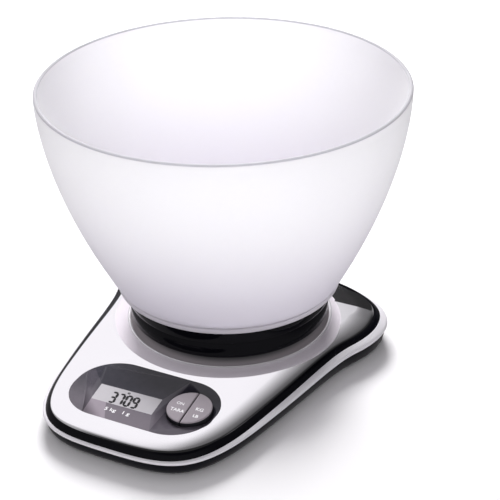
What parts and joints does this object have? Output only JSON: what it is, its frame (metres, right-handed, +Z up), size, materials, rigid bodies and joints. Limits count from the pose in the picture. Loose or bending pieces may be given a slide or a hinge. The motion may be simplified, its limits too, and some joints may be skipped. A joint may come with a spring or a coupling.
{
  "type": "kitchen scale",
  "caption": "Digital kitchen scale with a chromed wedge-shaped base, a display panel with push buttons, a round black tray and a lift-off frosted bowl.",
  "frame": {"origin": "on the table, under the middle of the whole object's outline seen from above", "axes": "+X to the user's right, +Y to the back, +Z up; the display is at the front, towards -Y"},
  "size_m": [0.23, 0.271, 0.1815],
  "materials": {
    "black_shell": "satin moulded black, soft sheen",
    "satin_trim": "satin silver plating",
    "black_gloss": "polished black",
    "chromed_cover": "mirror chrome plating",
    "screw_steel": "zinc-plated steel",
    "pad_rubber": "matt black rubber",
    "smoky_panel": "smoky slate-grey, polished, see-through over the display",
    "display_glass": "light grey display glass",
    "white_plastic": "natural white moulded plastic",
    "connector_rubber": "striped silicone connector",
    "circuit_board": "green solder mask",
    "black_resin": "black potting resin",
    "button_grey": "taupe-grey, satin",
    "cell_aluminium": "milled aluminium",
    "lead_sleeve": "grey sleeve",
    "carrier_plastic": "glass-filled dark grey plastic",
    "frosted_bowl": "frosted translucent white",
    "coin_steel": "nickel-plated steel",
    "contact_metal": "plated spring brass",
    "lead_red": "red insulation"
  },
  "bodies": {
    "base": {"base_shell": "black_shell", "trim_ring": "satin_trim", "waist_band": "black_gloss", "top_cover": "chromed_cover", "housing_screws": "screw_steel", "foot_front_left": "pad_rubber", "foot_front_right": "pad_rubber", "foot_back_left": "pad_rubber", "foot_back_right": "pad_rubber", "display_panel": "smoky_panel", "lcd_glass": "display_glass", "lcd_holder": "white_plastic", "zebra_strips": "connector_rubber", "main_board": "circuit_board", "controller_chip": "black_resin", "board_screws": "screw_steel", "switch_bodies": "black_shell", "load_cell": "cell_aluminium", "gauge_potting": "white_plastic", "cell_screws": "screw_steel", "overload_stop": "screw_steel", "cell_leads": "lead_sleeve", "coin_cell": "coin_steel", "battery_holder": "white_plastic", "contact_plus": "contact_metal", "contact_minus": "contact_metal", "battery_leads": "lead_red"},
    "platform": {"platform_carrier": "carrier_plastic", "carrier_screws": "screw_steel", "tray_skirt": "black_gloss", "weighing_tray": "black_gloss", "tray_screws": "screw_steel", "tray_pad": "pad_rubber"},
    "bowl": {"bowl": "frosted_bowl"},
    "tare_button": {"button_tare": "button_grey", "plunger_tare": "white_plastic"},
    "unit_button": {"button_unit": "button_grey", "plunger_unit": "white_plastic"},
    "battery_cap": {"battery_cap": "black_shell"}
  },
  "joints": [
    {"name": "platform_deflection", "type": "slide", "parent": "base", "child": "platform", "axis": [0, 0, -1], "range_m": [0, 0.0006], "stiffness_N_per_m": 10000, "springref_m": -0.0008, "deforming": ["load_cell"]},
    {"name": "bowl_lift", "type": "slide", "parent": "platform", "child": "bowl", "axis": [0, 0, 1], "range_m": [0, 0.06]},
    {"name": "tare_press", "type": "slide", "parent": "base", "child": "tare_button", "axis": [0, 0.015, -0.9999], "range_m": [0, 0.0006], "stiffness_N_per_m": 250, "springref_m": -0.002},
    {"name": "unit_press", "type": "slide", "parent": "base", "child": "unit_button", "axis": [0, 0.015, -0.9999], "range_m": [0, 0.0006], "stiffness_N_per_m": 250, "springref_m": -0.002},
    {"name": "battery_cap_turn", "type": "hinge", "parent": "base", "child": "battery_cap", "pos_m": [0, -0.0295, 0.0025], "axis": [0, 0, 1], "range_deg": [0, 45]}
  ]
}
